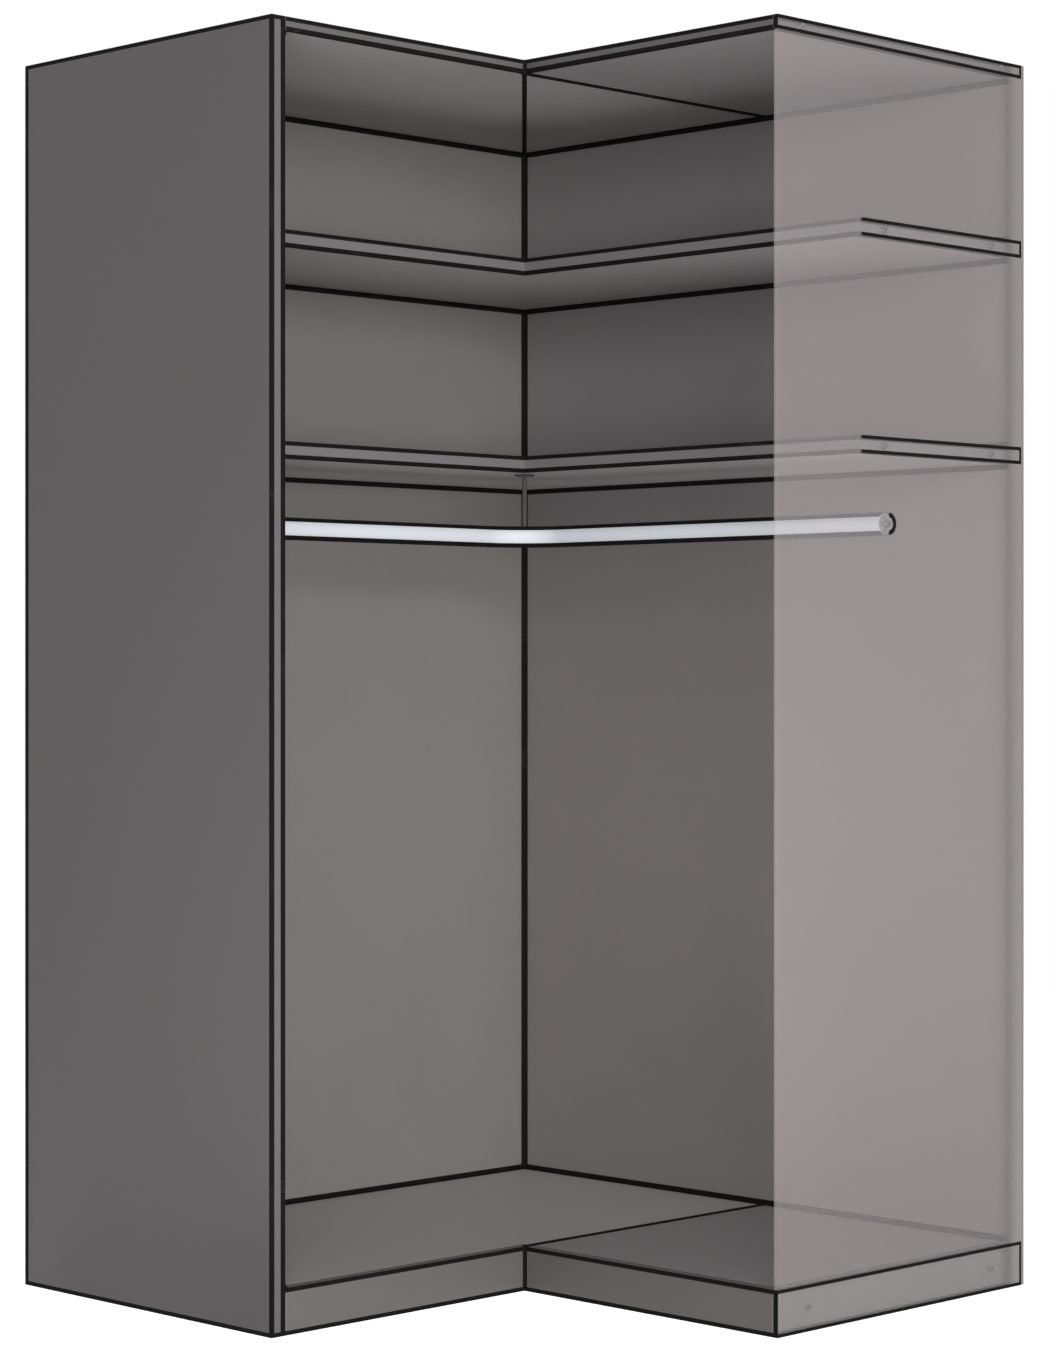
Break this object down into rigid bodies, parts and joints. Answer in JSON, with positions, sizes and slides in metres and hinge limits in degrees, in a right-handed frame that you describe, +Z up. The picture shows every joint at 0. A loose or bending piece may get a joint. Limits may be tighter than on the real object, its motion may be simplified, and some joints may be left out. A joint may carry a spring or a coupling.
{
  "type": "corner wardrobe",
  "caption": "Open L-shaped corner wardrobe with one-piece corner shelves, a bent hanging rail, a plinth base, one board side and one see-through side.",
  "frame": {"origin": "on the floor, under the middle of the footprint's bounding square, whose sides are the two rear planes and the outer faces of the two sides", "axes": "+Z up; +X runs from the left side towards the right rear plane, and the right wing opens towards -X; +Y runs from the right side towards the left rear plane, and the left wing opens towards -Y; the picture looks along +X +Y"},
  "size_m": [1.16, 1.16, 2],
  "materials": {
    "grey_board": "particle board with a plain grey-taupe melamine face, satin with a fine pearl, edges banded in the same grey",
    "grey_back": "particle board with the same plain grey melamine face, a little flatter in sheen",
    "tinted_sheet": "see-through safety glass with a light grey film, satin outside, dark joint lines",
    "raw_board": "bare particle board, sawn edges",
    "satin_tube": "aluminium under a clear satin coat, drawn lengthwise",
    "painted_steel": "steel painted dark grey, dull",
    "sheet_fixing": "steel with heads coated in the grey of the film",
    "zinc_steel": "zinc-plated steel, dull",
    "beech_dowel": "fluted beech",
    "black_plastic": "moulded black plastic, fine grained"
  },
  "bodies": {
    "carcass": {"left_side_panel": "grey_board", "top_board_left": "grey_board", "top_board_right": "grey_board", "plinth_left": "grey_board", "plinth_right": "grey_board", "plinth_end_right": "grey_board", "floor_board_left": "grey_board", "floor_board_right": "grey_board", "upper_shelf": "grey_board", "lower_shelf": "grey_board", "back_panel_left": "grey_back", "back_panel_right": "grey_back", "right_side_sheet": "tinted_sheet", "base_rail_left": "raw_board", "base_rail_back_left": "raw_board", "base_rail_back_right": "raw_board", "base_rail_seam": "raw_board", "hanging_rail": "satin_tube", "rail_hanger": "painted_steel", "sheet_screw_top_front": "sheet_fixing", "sheet_screw_top_rear": "sheet_fixing", "sheet_screw_upper_shelf_front": "sheet_fixing", "sheet_screw_upper_shelf_rear": "sheet_fixing", "sheet_screw_lower_shelf_front": "sheet_fixing", "sheet_screw_lower_shelf_rear": "sheet_fixing", "sheet_screw_plinth_front": "sheet_fixing", "sheet_screw_plinth_rear": "sheet_fixing", "rail_screw_right": "sheet_fixing", "rail_plug_left": "zinc_steel", "rail_plug_right": "zinc_steel", "rail_hanger_nut": "zinc_steel", "rear_corner_angle": "zinc_steel", "wall_plate_left": "zinc_steel", "wall_plate_right": "zinc_steel", "upper_shelf_pin_front": "zinc_steel", "upper_shelf_pin_rear": "zinc_steel", "lower_shelf_pin_front": "zinc_steel", "lower_shelf_pin_rear": "zinc_steel", "upper_shelf_screw_left": "zinc_steel", "upper_shelf_screw_right": "zinc_steel", "lower_shelf_screw_left": "zinc_steel", "lower_shelf_screw_right": "zinc_steel", "top_cam_bolt_front": "zinc_steel", "top_cam_bolt_rear": "zinc_steel", "top_cam_lock_front": "zinc_steel", "top_cam_lock_rear": "zinc_steel", "top_seam_dowel_front": "beech_dowel", "top_seam_dowel_rear": "beech_dowel", "foot_housing_left_front": "black_plastic", "foot_housing_left_rear": "black_plastic", "foot_housing_inner_corner": "black_plastic", "foot_housing_rear_corner": "black_plastic", "foot_housing_right_front": "black_plastic", "foot_housing_right_rear": "black_plastic"},
    "foot_left_front": {"levelling_foot_left_front": "zinc_steel"},
    "foot_left_rear": {"levelling_foot_left_rear": "zinc_steel"},
    "foot_inner_corner": {"levelling_foot_inner_corner": "zinc_steel"},
    "foot_rear_corner": {"levelling_foot_rear_corner": "zinc_steel"},
    "foot_right_front": {"levelling_foot_right_front": "zinc_steel"},
    "foot_right_rear": {"levelling_foot_right_rear": "zinc_steel"}
  },
  "joints": [
    {"name": "foot_left_front_travel", "type": "slide", "parent": "carcass", "child": "foot_left_front", "axis": [0, 0, -1], "range_m": [0, 0.015]},
    {"name": "foot_left_rear_travel", "type": "slide", "parent": "carcass", "child": "foot_left_rear", "axis": [0, 0, -1], "range_m": [0, 0.015]},
    {"name": "foot_inner_corner_travel", "type": "slide", "parent": "carcass", "child": "foot_inner_corner", "axis": [0, 0, -1], "range_m": [0, 0.015]},
    {"name": "foot_rear_corner_travel", "type": "slide", "parent": "carcass", "child": "foot_rear_corner", "axis": [0, 0, -1], "range_m": [0, 0.015]},
    {"name": "foot_right_front_travel", "type": "slide", "parent": "carcass", "child": "foot_right_front", "axis": [0, 0, -1], "range_m": [0, 0.015]},
    {"name": "foot_right_rear_travel", "type": "slide", "parent": "carcass", "child": "foot_right_rear", "axis": [0, 0, -1], "range_m": [0, 0.015]}
  ]
}
